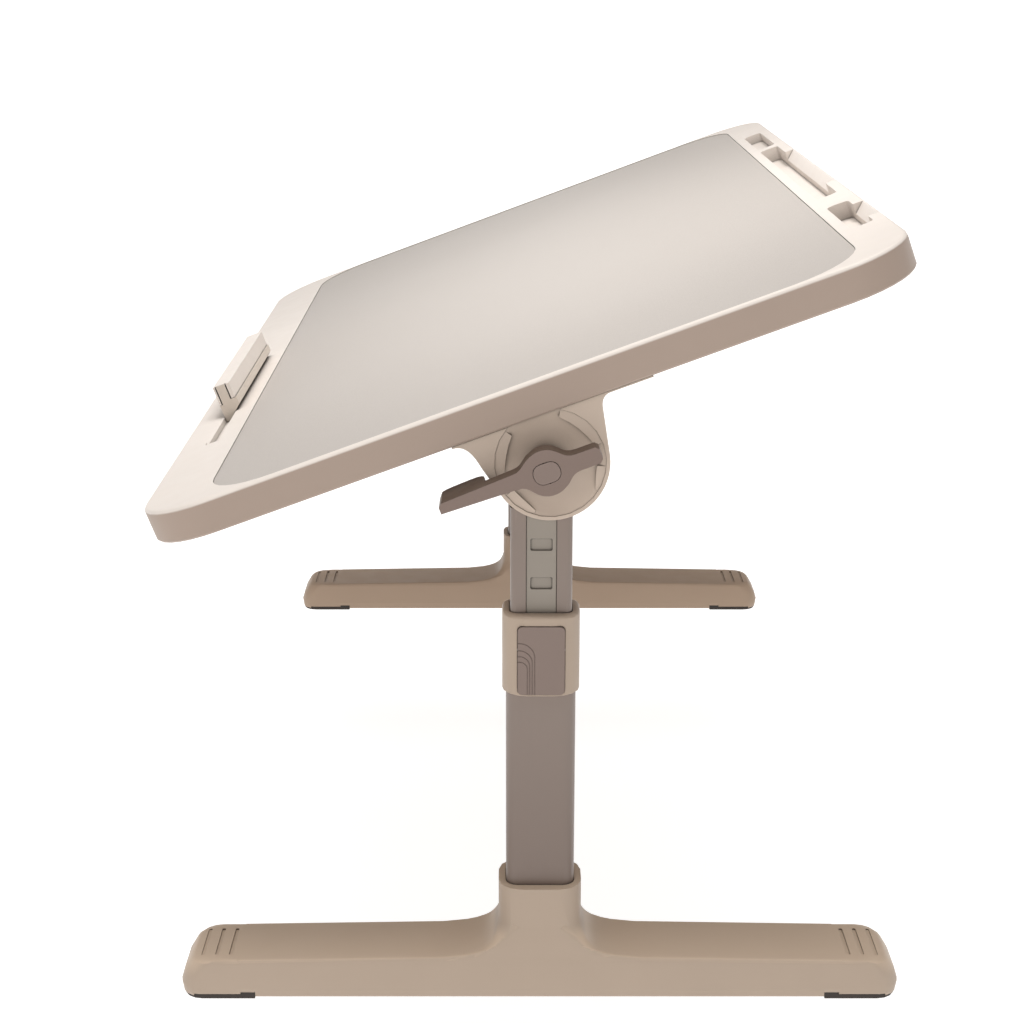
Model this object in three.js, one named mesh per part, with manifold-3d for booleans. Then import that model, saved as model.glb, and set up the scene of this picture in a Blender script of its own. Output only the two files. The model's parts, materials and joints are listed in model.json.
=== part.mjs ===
import * as THREE from 'three';
import { mergeVertices } from 'three/addons/utils/BufferGeometryUtils.js';
import Module from 'manifold-3d';

// A folding bed table, in millimetres, +Z up.
// Y runs along the long side of the top. The user sits on the -X side, where the top is lowest.
// Each leg is made once, for the far side, with its own outward direction as +Y, and the near leg
// is its mirror image. Inside the top, X runs up the slope and Z is square to the surface, both
// from the line of the two tilt pivots.

// Fits
const gap = 0.3; // between pieces that touch
const slideFit = 0.4; // round a piece that slides
const pinFit = 0.3; // round a pin or a bolt
const overrun = 1; // how far a cutter runs past what it cuts

// Facets
const cornerSteps = 4; // of a rounded corner
const tubeCornerSteps = 3;
const smallCornerSteps = 2;
const chamferSteps = 1;
const topCornerSteps = 8;
const edgeSteps = 3; // of the top's upper edge
const leverSteps = 6; // of each bend of the lever
const sweepSteps = 9; // of the foot's rise into its socket
const roundSteps = 24; // of a large round
const knuckleSides = 16;
const boreSteps = 12; // of a bolt, a pin or its hole
const thinPinSides = 8;
const hexSides = 6;

// Pose in the photograph
const tiltAngle = 20.3; // slope of the top, in degrees
const pivotOffset = 2.5; // the pivot lies this far from the tube's axis
const engagedNotch = 2; // the latch stands at this notch of the upper leg, the top one being 0

// Tabletop
const topLength = 800;
const topWidth = 500;
const topHeight = 21.8;
const topCorner = 48;
const topRound = 2.6; // upper edge
const topLowerRound = 1.2;
const pivotDrop = 29; // underside of the rim above the pivot
const legInset = 22.5; // middle of each leg inside the end of the top

// Surface panel and the moulding under it
const panelThickness = 1.8;
const panelRecess = 0.6; // below the rim
const panelCorner = 45;
const lowRim = 47;
const highRim = 32;
const sideRim = 4;
const webThickness = 3.6;
const cavityInset = 3; // cavity edge inside the panel edge, along the slope
const cavityEndWall = 14;
const cavityCorner = 20;
const ribDepth = 6;
const ribThickness = 2.5;
const ribRows = 5; // cells along the slope
const ribColumns = 6; // cells along Y
const rimCells = 3; // hollows along each long rim
const rimWall = 3.2;

// Pockets in the high rim
const pocketCorner = 4.5;
const tabletSlotWidth = 15.5;
const tabletSlotLength = 318;
const tabletSlotDepth = 12;
const tabletSlotFromEdge = 9; // slot's outer wall to the edge of the top
const tabletSlotCentre = 5;
const phoneSlotLength = 98;
const phoneSlotCentre = -246.5;
const trayLength = 104;
const trayCentre = 230;
const trayDepth = 8;
const leanDepth = 7; // sloped face that a tablet or a phone leans back on
const leanWidth = 7.2;
const tabletLeanLength = 214;
const phoneLeanLength = 57;

// Book stop
const stopLength = 189;
const stopNearEnd = -149;
const stopFace = 22.2; // outer face from the low edge of the top
const stopThickness = 6.8;
const stopHeight = 21.4; // above the top
const stopLedgeWidth = 4.6;
const stopLedgeLow = 4;
const stopLedgeHigh = 9.6;
const stopShoulder = 2.4; // step on the user's side that carries the sleeve
const stopFootDepth = 5.7;
const stopFootWidth = 3.4;
const stopTravel = 72;
const stopScoop = 14;
const fingerScoopWidth = 11.5; // slope down to the track on the user's side
const fingerScoopDepth = 2.4;
const sleeveOuter = 1.4; // wall of the stop's sleeve on the user's side
const sleeveInner = 2.6; // the same, towards the book
const sleeveTop = 1.2;
const sleeveGap = 0.9;
const stopEndPlate = 1.6;

// Fold hinge
const foldInset = 31.5; // axis inside the middle of the leg
const foldRise = 31; // axis above the pivot
const foldPinRadius = 3;
const knuckleRadius = 6;
const earRadius = 7;
const earThickness = 6;
const knuckleWidth = 47;
const mountPlate = 3.6;
const mountWidth = 76;
const mountLength = 50;
const mountInboard = 24; // plate's inboard end from the hinge axis
const pinHead = 2;
const pinHeadRadius = 4.5;
const screwRadius = 1.7;
const screwHeadRadius = 3.6;
const screwHead = 2.2;
const screwGrip = 3.2; // into the moulding
const screwFromEnd = 6;

// Tilt hub
const hubRadius = 36;
const hubX = 2.4; // middle of the housing's round from the pivot, up the slope
const hubZ = -0.9;
const hubFace = 20.5; // outer face from the middle of the leg
const hubRing = 2.2;
const dishDepth = 5.4;
const dishShares = [[0.42, 1], [0.6, 0.93], [0.8, 0.6], [0.93, 0.22], [1, 0.1]]; // of its radius and depth
const neckRightShare = 1.145; // the neck's high side, of the hub's radius
const neckLeftShares = [1.164, 1.136, 1.103]; // control points of its low side
const hubJoinLeft = 197; // where the neck leaves the round, in degrees
const hubJoinRight = 347.4;
const swingFrom = 194; // open side for the leg's swing, in degrees
const swingTo = 308;
const cheekThickness = 4;
const cavityRadius = 30.6;
const flangeLeft = 50;
const flangeRight = 78;
const flangeEdge = 1;
const flangeThickness = 3.6;
const frictionRadius = 20;
const frictionThickness = 2;
const boltRadius = 4;
const boltHead = 5;
const boltHeadRadius = 7.5;
const crescentRise = 0.6; // top of a ridge below the ring's face
const crescentBulge = 1.35; // widest, over the mean of the two ends
const ridges = [ // from and to, in degrees, then the width at either end
  [2, 60, 4.8, 4.8],
  [124, 176, 4.8, 4.8],
  [197, 233, 5.5, 2.4],
  [308, 336, 1.6, 5.5],
];
const washerRadius = 8.4;
const washerThickness = 1.2;

// Clamp lever
const leverFront = 43.5;
const leverThickness = 12;
const leverBoss = 14.2;
const leverReach = 67.5;
const leverShortReach = 34;
const leverNeckRadius = 8.8;
const leverTipHigh = 4.2;
const leverTipLow = 2.1;
const leverRootHigh = 6.1;
const leverRootLow = 3.5;
const leverShortHigh = 5.1;
const leverShortLow = 5.3;
const leverRootShare = 1.42; // where an arm begins, of the boss's radius
const leverPullShare = 0.9; // control point of the bend from the arm into the boss
const leverSteepShare = 0.82; // height of that bend's other control point, long arm
const leverEasyShare = 0.7; // the same, short arm
const leverUpLeft = 118; // where the bends meet the boss, in degrees
const leverUpRight = 58;
const leverDownLeft = 238;
const leverDownRight = 302;
const paddleLength = 30;
const paddleDepth = 28;
const paddleCorner = 9;
const capLength = 16.2;
const capHeight = 12.4;
const capThickness = 2.3;
const capCorner = 5.4;
const capProud = 0.3;
const insertRadius = 6.6;
const insertLength = 6.5;

// Upper leg
const headRadius = 28;
const headThickness = 21.4;
const upperWidth = 38.4;
const upperDepth = 26;
const upperCorner = 4.4;
const upperWall = 3;
const upperFrontWall = 5.4;
const upperTopDrop = 31; // end of the tube below the pivot
const upperBottomDrop = 189;
const headPlugLength = 26;
const channelWidth = 19;
const channelDepth = 2.8;
const stripWidth = 18.4;
const stripThickness = 1.9;
const notchWidth = 13.6; // the strip's notches catch the latch
const notchHeight = 7.9;
const notchDepth = 1.3;
const notchPitch = 25;
const notchCount = 6;
const firstNotchDrop = 54;
const notchCorner = 0.7;
const shoeHeight = 12;
const shoePlug = 10;

// Lower leg
const lowerWidth = 44;
const lowerDepth = 30;
const lowerCorner = 8;
const lowerWall = 1.6;
const lowerTop = 250;
const collarWidth = 48.6;
const collarBack = 17; // from the middle of the leg
const collarGrip = 40; // down the lower tube
const collarRise = 12.8; // above the lower tube
const collarCorner = 9;
const collarFrontCorner = 15;
const collarChamfer = 2;
const collarEase = 0.7; // drawn in, partway round the chamfer
const collarFrontWall = 1.7;
const buttonWidth = 29.4;
const buttonHeight = 45;
const buttonInset = 1.3; // above the collar's lower edge
const buttonThickness = 2.5;
const buttonProud = 0.7;
const buttonCorner = 3;
const rockerRise = 28.7; // button's pivot above its lower edge
const rockerDepth = 3.4; // behind the collar's face
const rockerRadius = 0.8;
const lugRadius = 1.8;
const lugThickness = 2;
const lugSpacing = 22;
const rockerPinLength = 32.4;
const coilRadius = 1.3;
const coilWire = 0.4;
const coilTurns = 3;
const coilPitch = 1.6;
const coilSteps = 8;
const coilSides = 5;
const latchWidth = 13;
const latchThickness = 0.9;
const latchTooth = 5.6;
const latchLow = 3.2; // latch plate's lower end above the rocker
const toothRise = 0.7; // middle of the latch's tooth above the button

// Foot
const footLength = 470;
const footDepth = 52;
const footTopDepth = 50.6;
const footHeight = 27.6;
const footBottom = 1.5;
const footWaist = 9; // height of the widest line
const footUndercut = 1; // the sides draw in below it
const footEndSlope = 7;
const footEndRound = 9;
const footCorner = 13;
const footTopRound = 3;
const footRoundShares = [[0.3, 0.3, 0.25], [0, 1, 0.8]]; // height left, drawn in at the end, at the side
const socketWidth = 53.6;
const socketDepth = 43.5;
const socketCorner = 15;
const sweepCorner = 2; // where the arm begins to rise; it widens to the socket's corner
const socketTop = 77;
const socketFloor = 42;
const sweepRise = 24; // height of the curved part above the arm
const sweepFactor = 120; // the rise above the arm times the distance from the socket
const sweepReach = 170; // from the socket to where the rise ends
const cornerEase = 1.6;
const sweepEase = 1.4; // gathers the steps low down, where the rise is flattest
const footWall = 4;
const footRoof = 5;
const archClear = 44; // solid middle of the foot, each side
const footBoltRadius = 2.6;
const footBoltHeadRadius = 5;
const footBoltHead = 5;
const footBoltFloor = 10;
const plugLength = 17;
const padLength = 49;
const padThickness = 3;
const padBar = 9;
const padBarHeight = 6.5;
const padInset = 0.8;
const grooveCount = 3;
const groovePitch = 9;
const grooveWidth = 2.4;
const grooveDepth = 1.2;
const grooveFromEnd = 15.2;
const grooveLength = 34.5;

const wasm = await Module();
wasm.setup();

const degrees = Math.PI / 180;

// Solids

function solid(geometry) {
  const bare = geometry.clone();
  bare.deleteAttribute('normal');
  bare.deleteAttribute('uv');
  const merged = mergeVertices(bare);
  const mesh = new wasm.Mesh({
    numProp: 3,
    vertProperties: new Float32Array(merged.attributes.position.array),
    triVerts: new Uint32Array(merged.index.array),
  });
  return new wasm.Manifold(mesh);
}

function geometryOf(manifold) {
  const mesh = manifold.getMesh();
  const geometry = new THREE.BufferGeometry();
  geometry.setAttribute('position', new THREE.BufferAttribute(mesh.vertProperties, 3));
  geometry.setIndex(new THREE.BufferAttribute(mesh.triVerts, 1));
  return geometry;
}

function union(...solids) {
  return solids.reduce((all, next) => all.add(next));
}

function cut(body, ...cutters) {
  return cutters.reduce((left, cutter) => left.subtract(cutter), body);
}

function box(xLow, xHigh, yLow, yHigh, zLow, zHigh) {
  const geometry = new THREE.BoxGeometry(xHigh - xLow, yHigh - yLow, zHigh - zLow);
  geometry.translate((xLow + xHigh) / 2, (yLow + yHigh) / 2, (zLow + zHigh) / 2);
  return solid(geometry);
}

function outline(points) {
  return new THREE.Shape(points.map(([x, y]) => new THREE.Vector2(x, y)));
}

function extrusion(shape, depth, curveSteps = cornerSteps) {
  return new THREE.ExtrudeGeometry(shape, { depth, bevelEnabled: false, curveSegments: curveSteps });
}

// Section in the XY plane, standing from zLow to zHigh
function upright(shape, zLow, zHigh, curveSteps) {
  const geometry = extrusion(shape, zHigh - zLow, curveSteps);
  geometry.translate(0, 0, zLow);
  return solid(geometry);
}

// Section in the XZ plane, running outward from yLow to yHigh
function across(shape, yLow, yHigh, curveSteps) {
  const geometry = extrusion(shape, yHigh - yLow, curveSteps);
  geometry.rotateX(Math.PI / 2);
  geometry.translate(0, yHigh, 0);
  return solid(geometry);
}

// Section in the YZ plane, running from xLow to xHigh
function along(shape, xLow, xHigh, curveSteps) {
  const geometry = extrusion(shape, xHigh - xLow, curveSteps);
  const turn = new THREE.Matrix4().makeBasis(
    new THREE.Vector3(0, 1, 0),
    new THREE.Vector3(0, 0, 1),
    new THREE.Vector3(1, 0, 0),
  );
  geometry.applyMatrix4(turn);
  geometry.translate(xLow, 0, 0);
  return solid(geometry);
}

function rodZ(radius, zLow, zHigh, x, y, sides = roundSteps) {
  const geometry = new THREE.CylinderGeometry(radius, radius, zHigh - zLow, sides);
  geometry.rotateX(Math.PI / 2);
  geometry.translate(x, y, (zLow + zHigh) / 2);
  return solid(geometry);
}

function rodY(radius, yLow, yHigh, x, z, sides = roundSteps) {
  const geometry = new THREE.CylinderGeometry(radius, radius, yHigh - yLow, sides);
  geometry.translate(x, (yLow + yHigh) / 2, z);
  return solid(geometry);
}

function rodX(radius, xLow, xHigh, y, z, sides = roundSteps) {
  const geometry = new THREE.CylinderGeometry(radius, radius, xHigh - xLow, sides);
  geometry.rotateZ(Math.PI / 2);
  geometry.translate((xLow + xHigh) / 2, y, z);
  return solid(geometry);
}

// Profile of radius and height, turned round the outward axis
function turnedY(profile, sides = roundSteps) {
  const points = profile.map(([radius, height]) => new THREE.Vector2(radius, height));
  return solid(new THREE.LatheGeometry(points, sides));
}

// The two corners on the outward side can have a radius of their own
function roundedRectangle(halfX, halfY, corner, steps = cornerSteps, outwardCorner = corner) {
  const points = [];
  for (let quarter = 0; quarter < 4; quarter += 1) {
    const signX = quarter === 0 || quarter === 3 ? 1 : -1;
    const signY = quarter < 2 ? 1 : -1;
    const radius = signY > 0 ? outwardCorner : corner;
    for (let step = 0; step <= steps; step += 1) {
      const angle = (quarter + step / steps) * Math.PI / 2;
      points.push([
        signX * (halfX - radius) + radius * Math.cos(angle),
        signY * (halfY - radius) + radius * Math.sin(angle),
      ]);
    }
  }
  return points;
}

function roundedShape(halfX, halfY, corner, x = 0, y = 0, steps = cornerSteps) {
  return outline(roundedRectangle(halfX, halfY, corner, steps).map(([px, py]) => [px + x, py + y]));
}

// Closed body through rings of points that all turn the same way
function skinned(rings) {
  const faces = [];
  const count = rings[0].length;
  for (let row = 0; row + 1 < rings.length; row += 1) {
    for (let step = 0; step < count; step += 1) {
      const here = row * count + step;
      const next = row * count + (step + 1) % count;
      faces.push(here, next, next + count, here, next + count, here + count);
    }
  }
  const last = (rings.length - 1) * count;
  for (let step = 1; step + 1 < count; step += 1) {
    faces.push(0, step + 1, step);
    faces.push(last, last + step, last + step + 1);
  }
  const geometry = new THREE.BufferGeometry();
  geometry.setAttribute('position', new THREE.Float32BufferAttribute(rings.flat(2), 3));
  geometry.setIndex(faces);
  return solid(geometry);
}

// Rounded rectangles stacked from the bottom up
function stacked(levels, steps = cornerSteps) {
  return skinned(levels.map(({ halfX, halfY, corner, outwardCorner, y = 0, z }) => (
    roundedRectangle(halfX, halfY, corner, steps, outwardCorner).map(([px, py]) => [px, py + y, z])
  )));
}

// Turns a piece of the far leg into the near leg's
function mirrored(geometry) {
  const copy = geometry.clone();
  copy.scale(1, -1, 1);
  const index = copy.index.array;
  for (let corner = 0; corner < index.length; corner += 3) {
    [index[corner + 1], index[corner + 2]] = [index[corner + 2], index[corner + 1]];
  }
  return copy;
}

// Levels that follow from the sizes above, inside the top
const rimUnder = pivotDrop;
const topFace = rimUnder + topHeight;
const panelFace = topFace - panelRecess;
const panelSeat = panelFace - panelThickness;
const webUnder = panelSeat - webThickness;
const legPlane = topLength / 2 - legInset;
const panelHalfX = (topWidth - lowRim - highRim) / 2;
const panelCentreX = (lowRim - highRim) / 2;
const panelHalfY = topLength / 2 - sideRim;

// Tabletop

function topEdgeLevels() {
  const level = (z, inset) => ({
    z,
    halfX: topWidth / 2 - inset,
    halfY: topLength / 2 - inset,
    corner: topCorner - inset,
  });
  const levels = [level(rimUnder, topLowerRound), level(rimUnder + topLowerRound, 0)];
  for (let step = 0; step <= edgeSteps; step += 1) {
    const angle = step / edgeSteps * Math.PI / 2;
    levels.push(level(topFace - topRound + topRound * Math.sin(angle), topRound * (1 - Math.cos(angle))));
  }
  return levels;
}

function cavityCells() {
  const halfX = panelHalfX - cavityInset;
  const halfY = topLength / 2 - cavityEndWall;
  const open = upright(
    roundedShape(halfX, halfY, cavityCorner, panelCentreX, 0),
    rimUnder - overrun,
    webUnder - ribDepth,
  );
  const stepX = 2 * halfX / ribRows;
  const stepY = 2 * halfY / ribColumns;
  const cells = [open];
  for (let row = 0; row < ribRows; row += 1) {
    for (let column = 0; column < ribColumns; column += 1) {
      const x = panelCentreX - halfX + (row + 1 / 2) * stepX;
      const y = -halfY + (column + 1 / 2) * stepY;
      const cellX = (stepX - ribThickness) / 2;
      const cellY = (stepY - ribThickness) / 2;
      cells.push(box(x - cellX, x + cellX, y - cellY, y + cellY, webUnder - ribDepth - overrun, webUnder));
    }
  }
  return cells;
}

// Hollows under the long rims, below the pockets and the stop's track
function rimHollows() {
  const halfY = topLength / 2 - topCorner;
  const stepY = 2 * halfY / rimCells;
  const inner = panelHalfX - cavityInset + rimWall;
  const outer = topWidth / 2 - rimWall;
  const lowRoof = stopFloor - slideFit - rimWall;
  const highRoof = topFace - tabletSlotDepth - rimWall;
  const hollows = [];
  for (let cell = 0; cell < rimCells; cell += 1) {
    const start = -halfY + cell * stepY + ribThickness / 2;
    const end = start + stepY - ribThickness;
    hollows.push(box(-outer, panelCentreX - inner, start, end, rimUnder - overrun, lowRoof));
    hollows.push(box(panelCentreX + inner, outer, start, end, rimUnder - overrun, highRoof));
  }
  return hollows;
}

// A slot along the high edge, and the sloped face behind it
function highPocket(length, centre, depth) {
  const outer = topWidth / 2 - tabletSlotFromEdge;
  const half = tabletSlotWidth / 2;
  const shape = roundedShape(half, length / 2, pocketCorner, outer - half, centre, smallCornerSteps);
  return upright(shape, topFace - depth, topFace + overrun);
}

function leanFace(length, centre) {
  const outer = topWidth / 2 - tabletSlotFromEdge;
  const wedge = outline([
    [outer - overrun, topFace - leanDepth],
    [outer, topFace - leanDepth],
    [outer + leanWidth, topFace],
    [outer + leanWidth, topFace + overrun],
    [outer - overrun, topFace + overrun],
  ]);
  return across(wedge, centre - length / 2, centre + length / 2);
}

const stopOuter = -topWidth / 2 + stopFace;
const stopBladeOuter = stopOuter + stopShoulder;
const stopBladeInner = stopBladeOuter + stopThickness;
const stopFloor = topFace - stopFootDepth;

// The track holds the stop's foot, and its near end is scooped out
function stopTrack() {
  const left = stopOuter - slideFit;
  const right = stopBladeInner + slideFit;
  const floor = stopFloor - slideFit;
  const farEnd = stopNearEnd + stopLength + slideFit;
  const nearEnd = stopNearEnd - stopTravel - slideFit;
  const section = outline([
    [left, floor],
    [stopOuter + stopFootWidth + slideFit, floor],
    [right, topFace],
    [right, topFace + overrun],
    [left, topFace + overrun],
  ]);
  const fingerScoop = outline([
    [left - fingerScoopWidth, topFace],
    [left + overrun, topFace - fingerScoopDepth],
    [left + overrun, topFace + overrun],
    [left - fingerScoopWidth, topFace + overrun],
  ]);
  const scoop = outline([
    [nearEnd - stopScoop, topFace],
    [nearEnd + overrun, floor],
    [nearEnd + overrun, topFace + overrun],
    [nearEnd - stopScoop, topFace + overrun],
  ]);
  return [
    across(section, nearEnd, farEnd),
    across(fingerScoop, nearEnd - stopScoop / 2, stopNearEnd + stopLength / 2),
    along(scoop, left, right),
  ];
}

function mountScrewPlaces() {
  const inboard = -foldInset - mountInboard;
  return [inboard + screwFromEnd, inboard + mountLength - screwFromEnd];
}

// The ribs leave room round each hinge mount
function mountRoom(side) {
  const inboard = legPlane - foldInset - mountInboard - ribThickness;
  const outboard = topLength / 2 - cavityEndWall - ribThickness;
  const halfX = mountWidth / 2 + ribThickness;
  return box(
    -halfX,
    halfX,
    side > 0 ? inboard : -outboard,
    side > 0 ? outboard : -inboard,
    webUnder - ribDepth - overrun,
    webUnder,
  );
}

function topFrame() {
  const body = stacked(topEdgeLevels(), topCornerSteps);
  const panelRecess = upright(
    roundedShape(panelHalfX, panelHalfY, panelCorner, panelCentreX, 0, topCornerSteps),
    panelSeat - gap,
    topFace + overrun,
  );
  const screwHoles = [];
  for (const side of [-1, 1]) {
    for (const place of mountScrewPlaces()) {
      const y = side * (legPlane + place);
      const holeTop = webUnder + screwGrip + gap;
      screwHoles.push(rodZ(screwRadius + pinFit, webUnder - overrun, holeTop, 0, y, boreSteps));
    }
  }
  return cut(
    body,
    panelRecess,
    ...cavityCells(),
    ...rimHollows(),
    mountRoom(-1),
    mountRoom(1),
    highPocket(tabletSlotLength, tabletSlotCentre, tabletSlotDepth),
    highPocket(phoneSlotLength, phoneSlotCentre, tabletSlotDepth),
    highPocket(trayLength, trayCentre, trayDepth),
    leanFace(tabletLeanLength, tabletSlotCentre),
    leanFace(phoneLeanLength, phoneSlotCentre),
    ...stopTrack(),
    ...screwHoles,
  );
}

function surfacePanel() {
  const shape = roundedShape(
    panelHalfX - gap,
    panelHalfY - gap,
    panelCorner - gap,
    panelCentreX,
    0,
    topCornerSteps,
  );
  return upright(shape, panelSeat, panelFace);
}

// Book stop

// The blade stands full height only at the end plate that closes the sleeve
function bookStop() {
  const blade = (height) => outline([
    [stopOuter, stopFloor],
    [stopOuter + stopFootWidth, stopFloor],
    [stopBladeInner, topFace],
    [stopBladeInner + stopLedgeWidth, topFace + stopLedgeLow],
    [stopBladeInner + stopLedgeWidth, topFace + stopLedgeHigh],
    [stopBladeInner, topFace + stopLedgeHigh],
    [stopBladeInner, topFace + height],
    [stopBladeOuter, topFace + height],
    [stopBladeOuter, topFace + stopLedgeHigh - stopShoulder],
    [stopOuter, topFace + stopLedgeHigh - stopShoulder],
  ]);
  const low = stopHeight - sleeveTop - gap;
  return union(
    across(blade(low), stopNearEnd, stopNearEnd + stopLength),
    across(blade(stopHeight), stopNearEnd, stopNearEnd + stopEndPlate),
  );
}

// A sleeve over the blade, open at the near end
function stopClip() {
  const outerBase = topFace + stopLedgeHigh - stopShoulder + gap;
  const innerBase = topFace + stopLedgeHigh + gap;
  const roof = topFace + stopHeight;
  const left = stopBladeOuter - sleeveGap - sleeveOuter;
  const right = stopBladeInner + sleeveGap + sleeveInner;
  const far = stopNearEnd + stopLength;
  const outerWall = box(left, left + sleeveOuter, stopNearEnd, far, outerBase, roof);
  const innerWall = box(right - sleeveInner, right, stopNearEnd, far, innerBase, roof);
  const top = box(left, right, stopNearEnd + stopEndPlate + gap, far, roof - sleeveTop, roof);
  return union(outerWall, innerWall, top);
}

// Fold hinge, in the top's frame, with Y outward from the middle of the leg

const earInner = knuckleWidth / 2 + gap;

function foldMount() {
  const inboard = -foldInset - mountInboard;
  const plateTop = webUnder - gap;
  const plate = box(
    -mountWidth / 2,
    mountWidth / 2,
    inboard,
    inboard + mountLength,
    plateTop - mountPlate,
    plateTop,
  );
  const ear = new THREE.Shape();
  ear.moveTo(-foldInset + earRadius, foldRise);
  ear.lineTo(-foldInset + earRadius, plateTop - mountPlate / 2);
  ear.lineTo(-foldInset - earRadius, plateTop - mountPlate / 2);
  ear.lineTo(-foldInset - earRadius, foldRise);
  ear.absarc(-foldInset, foldRise, earRadius, Math.PI, 2 * Math.PI, false);
  const ears = union(
    along(ear, earInner, earInner + earThickness, roundSteps / 4),
    along(ear, -earInner - earThickness, -earInner, roundSteps / 4),
  );
  const holes = mountScrewPlaces().map((y) => (
    rodZ(screwRadius + pinFit, plateTop - mountPlate - overrun, plateTop + overrun, 0, y, boreSteps)
  ));
  const pinHole = rodX(
    foldPinRadius + pinFit,
    -mountWidth / 2,
    mountWidth / 2,
    -foldInset,
    foldRise,
    boreSteps,
  );
  return cut(union(plate, ears), pinHole, ...holes);
}

function mountScrew(y) {
  const plateUnder = webUnder - gap - mountPlate;
  const head = rodZ(screwHeadRadius, plateUnder - gap - screwHead, plateUnder - gap, 0, y, boreSteps);
  const shank = rodZ(screwRadius, plateUnder - gap - screwHead / 2, webUnder + screwGrip, 0, y, boreSteps);
  return union(head, shank);
}

function foldPin() {
  const end = earInner + earThickness + gap;
  return union(
    rodX(foldPinRadius, -end - pinHead / 2, end + pinHead / 2, -foldInset, foldRise, boreSteps),
    rodX(pinHeadRadius, end, end + pinHead, -foldInset, foldRise, boreSteps),
    rodX(pinHeadRadius, -end - pinHead, -end, -foldInset, foldRise, boreSteps),
  );
}

// Tilt hub, in the top's frame

const flangeTop = rimUnder - gap;
const outerCheek = headThickness / 2 + frictionThickness + 2 * gap;

function onHub(radius, angle) {
  return [hubX + radius * Math.cos(angle), hubZ + radius * Math.sin(angle)];
}

function hubOutline() {
  const shape = new THREE.Shape();
  const joinLeft = hubJoinLeft * degrees;
  const joinRight = hubJoinRight * degrees;
  const low = flangeTop - flangeEdge;
  const right = hubX + hubRadius * neckRightShare;
  const [far, middle, near] = neckLeftShares.map((share) => hubX - hubRadius * share);
  shape.moveTo(-flangeLeft, flangeTop);
  shape.lineTo(-flangeLeft, low);
  shape.bezierCurveTo(far, low, middle, low / 2, near, low / 3);
  shape.lineTo(...onHub(hubRadius, joinLeft));
  shape.absarc(hubX, hubZ, hubRadius, joinLeft, joinRight, false);
  shape.lineTo(right, flangeTop - 2 * flangeThickness);
  shape.quadraticCurveTo(right + flangeThickness / 2, low, right + 2 * flangeThickness, low);
  shape.lineTo(flangeRight, low);
  shape.lineTo(flangeRight, flangeTop);
  shape.closePath();
  return shape;
}

// The leg's head turns in this space, and the tube swings in its open side
function hubCavity() {
  const reach = 2 * hubRadius;
  const openFrom = swingFrom * degrees;
  const openTo = swingTo * degrees;
  const shape = new THREE.Shape();
  shape.moveTo(reach * Math.cos(openFrom), reach * Math.sin(openFrom));
  shape.lineTo(-reach, -2 * reach);
  shape.lineTo(reach, -2 * reach);
  shape.lineTo(reach * Math.cos(openTo), reach * Math.sin(openTo));
  shape.lineTo(0, 0);
  shape.closePath();
  return union(
    rodY(cavityRadius, -outerCheek, outerCheek, 0, 0),
    across(shape, -outerCheek, outerCheek),
  );
}

// A raised ridge: round outside, and one shallower bend from end to end inside
function crescent([from, to, startWidth, endWidth]) {
  const outer = hubRadius - hubRing - gap;
  const start = from * degrees;
  const end = to * degrees;
  const middle = (start + end) / 2;
  const meanWidth = (startWidth + endWidth) / 2;
  const chord = (outer - meanWidth) * Math.cos(middle - start);
  const reach = 2 * (outer - crescentBulge * meanWidth) - chord;
  const shape = new THREE.Shape();
  shape.absarc(hubX, hubZ, outer, start, end, false);
  shape.lineTo(...onHub(outer - endWidth, end));
  shape.quadraticCurveTo(...onHub(reach, middle), ...onHub(outer - startWidth, start));
  shape.closePath();
  return across(shape, hubFace - dishDepth - overrun, hubFace - crescentRise);
}

function hubDish() {
  const rim = hubRadius - hubRing;
  const dish = turnedY([
    [0, hubFace - dishDepth],
    ...dishShares.map(([across, down]) => [rim * across, hubFace - dishDepth * down]),
    [rim + gap, hubFace + overrun],
    [0, hubFace + overrun],
  ]);
  return dish.translate([hubX, 0, hubZ]);
}

function hubHousing() {
  const shell = across(hubOutline(), -outerCheek - cheekThickness, hubFace, roundSteps / 2);
  const web = box(
    -knuckleWidth / 2,
    knuckleWidth / 2,
    -foldInset,
    -outerCheek,
    flangeTop - flangeThickness,
    flangeTop,
  );
  const knuckle = rodX(
    knuckleRadius,
    -knuckleWidth / 2,
    knuckleWidth / 2,
    -foldInset,
    foldRise,
    knuckleSides,
  );
  const pinHole = rodX(
    foldPinRadius + pinFit,
    -knuckleWidth,
    knuckleWidth,
    -foldInset,
    foldRise,
    boreSteps,
  );
  const boltHole = rodY(boltRadius + pinFit, -hubRadius, hubRadius, 0, 0, boreSteps);
  const dished = union(cut(shell, hubDish()), ...ridges.map(crescent));
  return cut(union(dished, web, knuckle), hubCavity(), pinHole, boltHole);
}

function frictionDisc(yLow) {
  return cut(
    rodY(frictionRadius, yLow, yLow + frictionThickness, 0, 0),
    rodY(boltRadius + pinFit, yLow - overrun, yLow + frictionThickness + overrun, 0, 0, boreSteps),
  );
}

const capSeat = leverFront - capThickness;

function clampBolt() {
  const headFace = -outerCheek - cheekThickness - gap;
  return union(
    rodY(boltHeadRadius, headFace - boltHead, headFace, 0, 0, hexSides),
    rodY(boltRadius, headFace - boltHead / 2, capSeat - gap, 0, 0, boreSteps),
  );
}

function thrustWasher() {
  const seat = hubFace - dishDepth + gap;
  return cut(
    rodY(washerRadius, seat, seat + washerThickness, 0, 0),
    rodY(boltRadius + pinFit, seat - overrun, seat + washerThickness + overrun, 0, 0, boreSteps),
  );
}

// Clamp lever

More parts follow.
